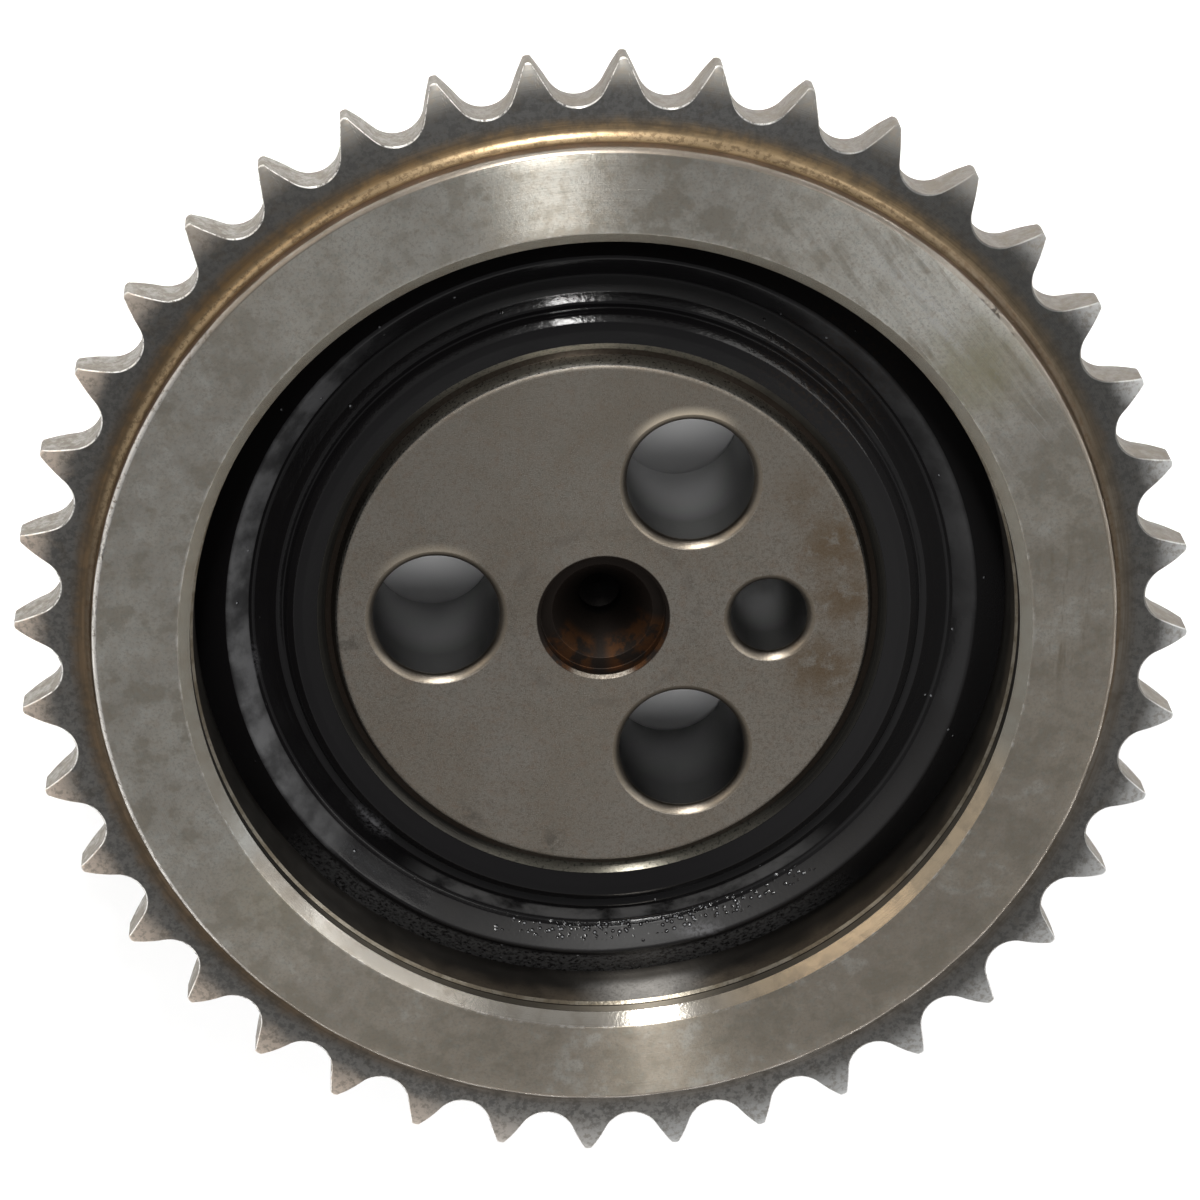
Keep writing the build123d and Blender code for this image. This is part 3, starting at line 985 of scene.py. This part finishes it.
def back_section():
    """The section down the drum, round the back and up the bore to the lip."""
    drum, bore = DRUM_RADIUS, OUTER_SLEEVE_RADIUS
    return [
        (drum + 0.08, TOOTH_BACK - 0.08),
        (drum, TOOTH_BACK - 0.3),
        (drum, TOOTH_BACK - 3.0),
        (drum, RIM_BACK + 3.0),
        (drum, RIM_BACK + 1.05),
        (drum - 0.05, RIM_BACK + 0.95),
        (drum - 0.95, RIM_BACK + 0.05),
        (drum - 1.05, RIM_BACK),
        (drum - 4.0, RIM_BACK),
        (bore + 0.85, RIM_BACK),
        (bore + 0.75, RIM_BACK + 0.05),
        (bore + 0.02, RIM_BACK + 0.78),
        (bore, RIM_BACK + 0.9),
        (bore, OUTER_SLEEVE_FRONT),
        (LIP_RADIUS + 0.08, OUTER_SLEEVE_FRONT),
        (LIP_RADIUS, OUTER_SLEEVE_FRONT + 0.08),
    ]


def rim_section(outer):
    """The rim's closed section for a column whose teeth end at a radius."""
    tooth_inner = FACE_RADIUS + STEP_FILLET
    return front_section(tooth_inner) + tooth_section(tooth_inner, outer) + back_section()


def make_rim(material):
    """The toothed rim as one closed mesh, one section for each column of the tooth outline."""
    columns = tooth_columns()
    vertices = []
    for angle, outer in columns:
        for radius, height in rim_section(outer):
            on_edge = FACE_RADIUS - 0.6 < radius < FACE_RADIUS + 0.01 and height > RIM_FRONT - 0.7
            push = burr(angle, height) if on_edge else 0.0
            vertices.append(polar(radius + push, angle, height))
    faces = wrapped_faces(len(columns), len(rim_section(TIP_RADIUS)))
    piece = mesh_piece("rim", vertices, faces, material, sharp_degrees=28)
    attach(piece, "root")
    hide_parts("toothed_rim")


def make_sleeves(material):
    """The two plain sleeves, each with broken edges."""
    outer = [
        (LIP_RADIUS, OUTER_SLEEVE_FRONT, 0.05),
        (OUTER_SLEEVE_RADIUS, OUTER_SLEEVE_FRONT, 0),
        (OUTER_SLEEVE_RADIUS, OUTER_SLEEVE_BACK, 0.3),
        (SLEEVE_BORE, OUTER_SLEEVE_BACK, 0.3),
        (SLEEVE_BORE, OUTER_SLEEVE_FRONT - SLEEVE_BEVEL, 0.06),
    ]
    inner = [
        (HUB_SEAT_RADIUS, INNER_SLEEVE_BACK, 0),
        (INNER_SLEEVE_RADIUS, INNER_SLEEVE_BACK, 0),
        (INNER_SLEEVE_RADIUS, INNER_SLEEVE_FRONT, 0.05),
        (INNER_SLEEVE_RADIUS - INNER_BEVEL, INNER_SLEEVE_FRONT - INNER_BEVEL, 0.1),
        (HUB_SEAT_RADIUS, INNER_SLEEVE_FRONT - INNER_BEVEL, 0),
    ]
    turned_piece("bore_sleeve", "outer_sleeve", "sleeve_steel", outer, material)
    turned_piece("hub_sleeve", "inner_sleeve", "sleeve_steel", inner, material)


def uneven_rubber(point, angle):
    """Moves a point of the rubber's outline up or down a little, but not where it is bonded."""
    radius, height = point
    to_bond = min(radius - INNER_SLEEVE_RADIUS, SLEEVE_BORE - radius)
    freedom = min(1.0, max(0.0, to_bond / 0.8))
    spot = Vector((math.cos(angle) * 9, math.sin(angle) * 9, radius * 0.4 + height))
    return radius, height + RUBBER_UNEVENNESS * freedom * noise.noise(spot)


def make_rubber(material):
    """The rubber ring with softened corners and a slightly uneven moulded surface."""
    corners = [
        (SLEEVE_BORE, RUBBER_OUTER_HEIGHT, 0),
        *RUBBER_FRONT.values(),
        (INNER_SLEEVE_RADIUS, RUBBER_INNER_HEIGHT, 0),
        (INNER_SLEEVE_RADIUS, HOLLOW_INNER_HEIGHT, 0),
        (*RUBBER_HOLLOW, 6.0),
        (SLEEVE_BORE, HOLLOW_OUTER_HEIGHT, 0),
    ]
    fine = {"columns": 720, "longest": 1.2}
    turned_piece("rubber", "rubber_ring", "rubber", corners, material, wobble=uneven_rubber, **fine)


def hub_outline():
    """The hub's section with its boss, flange, lead-in taper and blind centre hole."""
    centre_floor = HUB_FRONT - CENTRE_DEPTH
    cone_depth = (CONE_RADIUS - PILOT_RADIUS) / math.tan(CONE_HALF_ANGLE)
    return rounded([
        (ON_AXIS, 0, 0),
        (HUB_BOSS_RADIUS - HUB_EDGE, 0, 0.05),
        (HUB_BOSS_RADIUS, HUB_EDGE, 0.05),
        (HUB_BOSS_RADIUS, HUB_FLANGE_BACK, 0.5),
        (HUB_FLANGE_RADIUS - HUB_EDGE, HUB_FLANGE_BACK, 0.05),
        (HUB_FLANGE_RADIUS, HUB_FLANGE_BACK + HUB_EDGE, 0.05),
        (HUB_FLANGE_RADIUS, INNER_SLEEVE_BACK, 0),
        (HUB_SEAT_RADIUS, INNER_SLEEVE_BACK, 0),
        (HUB_SEAT_RADIUS, HUB_FRONT - HUB_LEAD_HEIGHT, 0.08),
        (HUB_TAPER_RADIUS, HUB_FRONT, 0.5),
        (CENTRE_RADIUS + CENTRE_CHAMFER, HUB_FRONT, 0.08),
        (CENTRE_RADIUS, HUB_FRONT - CENTRE_CHAMFER, 0.05),
        (CENTRE_RADIUS, centre_floor, 0.1),
        (CONE_RADIUS, centre_floor, 0.1),
        (PILOT_RADIUS, centre_floor - cone_depth, 0),
        (PILOT_RADIUS, HUB_FRONT - PILOT_DEPTH, 0),
        (ON_AXIS, HUB_FRONT - PILOT_DEPTH - PILOT_POINT, 0),
    ])


def make_hub(material):
    """The hub turned as one form, then bored with fine cutters."""

    def place(point, angle):
        return polar(point[0], angle, point[1])

    vertices, faces = swept(hub_outline(), even_angles(360), place)
    piece = mesh_piece("hub_disc", vertices, faces, material)
    cutters = [make_cutter(angle, BOLT_RADIUS) for angle in BOLT_ANGLES]
    cutters.append(make_cutter(DOWEL_ANGLE, DOWEL_RADIUS))
    for cutter in cutters:
        cut = piece.modifiers.new("bore", "BOOLEAN")
        cut.operation = "DIFFERENCE"
        cut.solver = "EXACT"
        cut.object = cutter
    graph = bpy.context.evaluated_depsgraph_get()
    bored = bpy.data.meshes.new_from_object(piece.evaluated_get(graph))
    piece.modifiers.clear()
    piece.data = bored
    for cutter in cutters:
        bpy.data.objects.remove(cutter)
    smooth_by_angle(bored, 30)
    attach(piece, "root")
    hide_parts("hub")
    return piece


def make_cutter(degrees, radius):
    """A through-hole cutter with a slightly rounded chamfer at both ends."""
    over = 1.0
    mouth = radius + HOLE_CHAMFER
    corners = [
        (ON_AXIS, -over, 0),
        (mouth + over, -over, 0),
        (radius, HOLE_CHAMFER, 0.5),
        (radius, HUB_FRONT - HOLE_CHAMFER, 1.0),
        (mouth, HUB_FRONT + 0.01, 1.0),
        (mouth + over, HUB_FRONT + 0.2, 0),
        (mouth + over, HUB_FRONT + over, 0),
        (ON_AXIS, HUB_FRONT + over, 0),
    ]
    centre_x, centre_y, _ = polar(HOLE_CIRCLE, math.radians(degrees), 0)

    def place(point, angle):
        x, y, height = polar(point[0], angle, point[1])
        return (x + centre_x, y + centre_y, height)

    vertices, faces = swept(rounded(corners), even_angles(192), place)
    mesh = mesh_of("cutter", vertices, faces)
    with edited(mesh) as shape:
        bmesh.ops.remove_doubles(shape, verts=shape.verts, dist=0.01 * MM)
        bmesh.ops.recalc_face_normals(shape, faces=shape.faces)
    return link(bpy.data.objects.new("cutter", mesh))


def smooth_by_angle(mesh, degrees):
    """Smooth shading that stays sharp across edges above an angle and round the flat faces."""
    limit = math.radians(degrees)
    with edited(mesh) as shape:
        for face in shape.faces:
            face.smooth = True
        for edge in shape.edges:
            flat = [abs(face.normal.z) > 0.9999 for face in edge.link_faces]
            alike = len(flat) == 2 and flat[0] == flat[1]
            edge.smooth = alike and edge.calc_face_angle(0) < limit


def make_floor():
    """The pale surface that the part lies on."""
    reach = 3.0
    mesh = bpy.data.meshes.new("floor")
    corners = [(-reach, -reach, 0), (reach, -reach, 0), (reach, reach, 0), (-reach, reach, 0)]
    mesh.from_pydata(corners, [], [(0, 1, 2, 3)])
    floor = link(bpy.data.objects.new("floor", mesh))
    g = Graph("floor_look")
    mottle = g.noise(0.02)
    g.set(Base_Color=g.mix(mottle, (0.88, 0.88, 0.88), (0.92, 0.92, 0.92)), Roughness=0.9)
    floor.data.materials.append(g.material)
    return floor


def make_lamp(name, azimuth, elevation, distance, size, power, colour):
    """A soft rectangular lamp aimed at the part from a direction in degrees, azimuth from +X."""
    lamp = bpy.data.lights.new(name, "AREA")
    lamp.shape = "RECTANGLE"
    lamp.size, lamp.size_y = size
    lamp.energy = power
    lamp.color = colour
    holder = link(bpy.data.objects.new(name, lamp))
    rise = math.radians(elevation)
    direction = Vector(polar(math.cos(rise), math.radians(azimuth), math.sin(rise)))
    holder.location = LAMP_TARGET + direction * distance
    holder.rotation_mode = "QUATERNION"
    holder.rotation_quaternion = (-direction).to_track_quat("-Z", "Y")
    return holder


def make_sky():
    """An even room light that is brighter low down and dim overhead."""
    world = bpy.data.worlds.new("sky")
    world.use_nodes = True
    nodes = world.node_tree.nodes
    links = world.node_tree.links
    axes = nodes.new("ShaderNodeSeparateXYZ")
    links.new(nodes.new("ShaderNodeTexCoord").outputs["Generated"], axes.inputs[0])
    ramp = nodes.new("ShaderNodeValToRGB")
    links.new(axes.outputs["Z"], ramp.inputs[0])
    stops = ramp.color_ramp.elements
    for place, _ in SKY_STOPS[1:-1]:
        stops.new(place)
    for stop, (_, colour) in zip(stops, SKY_STOPS):
        stop.color = (*colour, 1)
    links.new(ramp.outputs[0], nodes["Background"].inputs["Color"])
    bpy.context.scene.world = world


def collection_of(name, piece):
    """A collection that holds one object."""
    collection = bpy.data.collections.new(name)
    collection.objects.link(piece)
    return collection


def make_light(floor, hub):
    """A soft key from beyond the top of the picture, weak fills around it and a lamp for the floor alone."""
    lamps = {name: make_lamp(name, *values) for name, values in LAMPS.items()}
    linking = lamps["overhead"].light_linking
    linking.receiver_collection = collection_of("lit_by_overhead", floor)
    linking.blocker_collection = collection_of("shading_overhead", hub)


def make_camera():
    """The photograph's camera: above the wheel's top edge, looking down 68 degrees."""
    place = Vector(CAMERA_PLACE) * MM
    target = Vector(CAMERA_TARGET) * MM
    forward = (target - place).normalized()
    up = Vector((1, 0, 0)).cross(forward).normalized()
    side = forward.cross(up)
    data = bpy.data.cameras.new("camera")
    data.sensor_width = SENSOR_WIDTH
    data.lens = CAMERA_LENS
    data.clip_start = 0.01
    camera = link(bpy.data.objects.new("camera", data))
    camera.location = place
    camera.rotation_mode = "QUATERNION"
    camera.rotation_quaternion = Matrix((side, up, -forward)).transposed().to_quaternion()
    bpy.context.scene.camera = camera


make_camera()
make_sky()
make_rim(rim_steel())
make_sleeves(sleeve_steel())
make_rubber(rubber_look())
make_light(make_floor(), make_hub(hub_steel()))
bpy.context.scene.view_settings.view_transform = "Standard"
